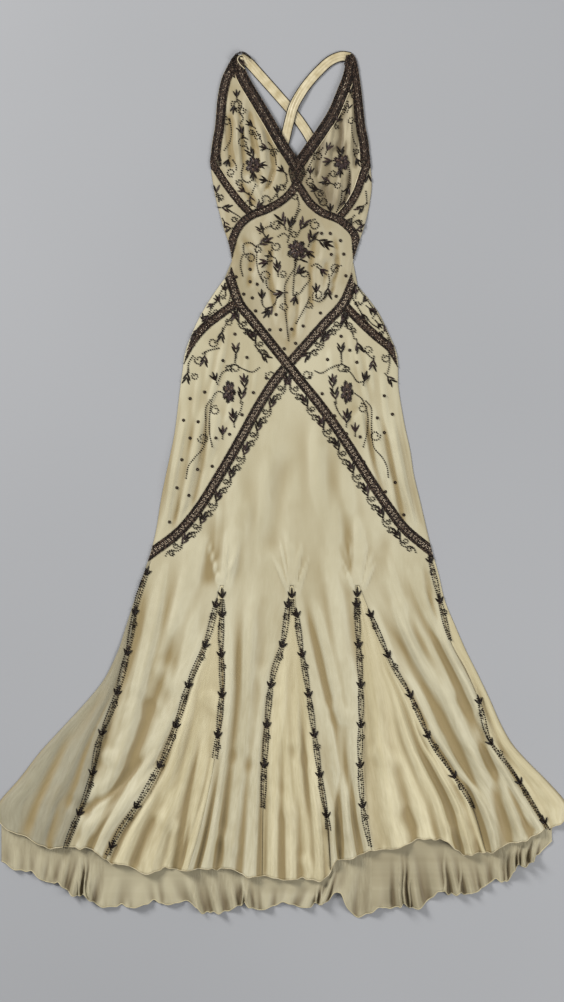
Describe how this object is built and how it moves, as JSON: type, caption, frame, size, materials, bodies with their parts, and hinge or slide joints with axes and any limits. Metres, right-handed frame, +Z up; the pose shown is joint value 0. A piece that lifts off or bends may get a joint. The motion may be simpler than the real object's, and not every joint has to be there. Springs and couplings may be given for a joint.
{
  "type": "mermaid prom dress",
  "caption": "Long silk mermaid evening gown laid flat, with crossed straps, dark beaded bands and flared godets.",
  "frame": {"origin": "middle of the gown's plan, on the surface it lies on", "axes": "+Z up, +Y towards the shoulders, +X to the right as seen from above with the shoulders away from the viewer"},
  "size_m": [1.0512, 1.5952, 0.0234],
  "materials": {
    "ivory_chiffon": "matte crinkled silk",
    "godet_chiffon": "matte crinkled silk",
    "back_chiffon": "matte crinkled silk",
    "strap_satin": "satin",
    "dark_beads": "glossy glass beads"
  },
  "bodies": {
    "root": {"cup_left": "ivory_chiffon", "cup_right": "ivory_chiffon", "side_front_left": "ivory_chiffon", "side_front_right": "ivory_chiffon", "midriff_front": "ivory_chiffon", "yoke_left": "ivory_chiffon", "yoke_right": "ivory_chiffon", "hip_panel_left": "ivory_chiffon", "hip_panel_right": "ivory_chiffon", "skirt_front": "ivory_chiffon", "godet_side_left": "godet_chiffon", "godet_left": "godet_chiffon", "godet_centre": "godet_chiffon", "godet_right": "godet_chiffon", "godet_side_right": "godet_chiffon", "back_panel": "back_chiffon", "strap_left": "strap_satin", "strap_right": "strap_satin", "neck_band_left": "dark_beads", "neck_band_right": "dark_beads", "armhole_band_left": "dark_beads", "armhole_band_right": "dark_beads", "cup_band_left": "dark_beads", "cup_band_right": "dark_beads", "underbust_band_left": "dark_beads", "underbust_band_right": "dark_beads", "cross_band_whole": "dark_beads", "cross_band_upper": "dark_beads", "cross_band_lower": "dark_beads", "yoke_band_left": "dark_beads", "yoke_band_right": "dark_beads", "flower_cup_left": "dark_beads", "flower_cup_right": "dark_beads", "flower_midriff": "dark_beads", "flower_hip_left": "dark_beads", "flower_hip_right": "dark_beads"}
  },
  "joints": []
}
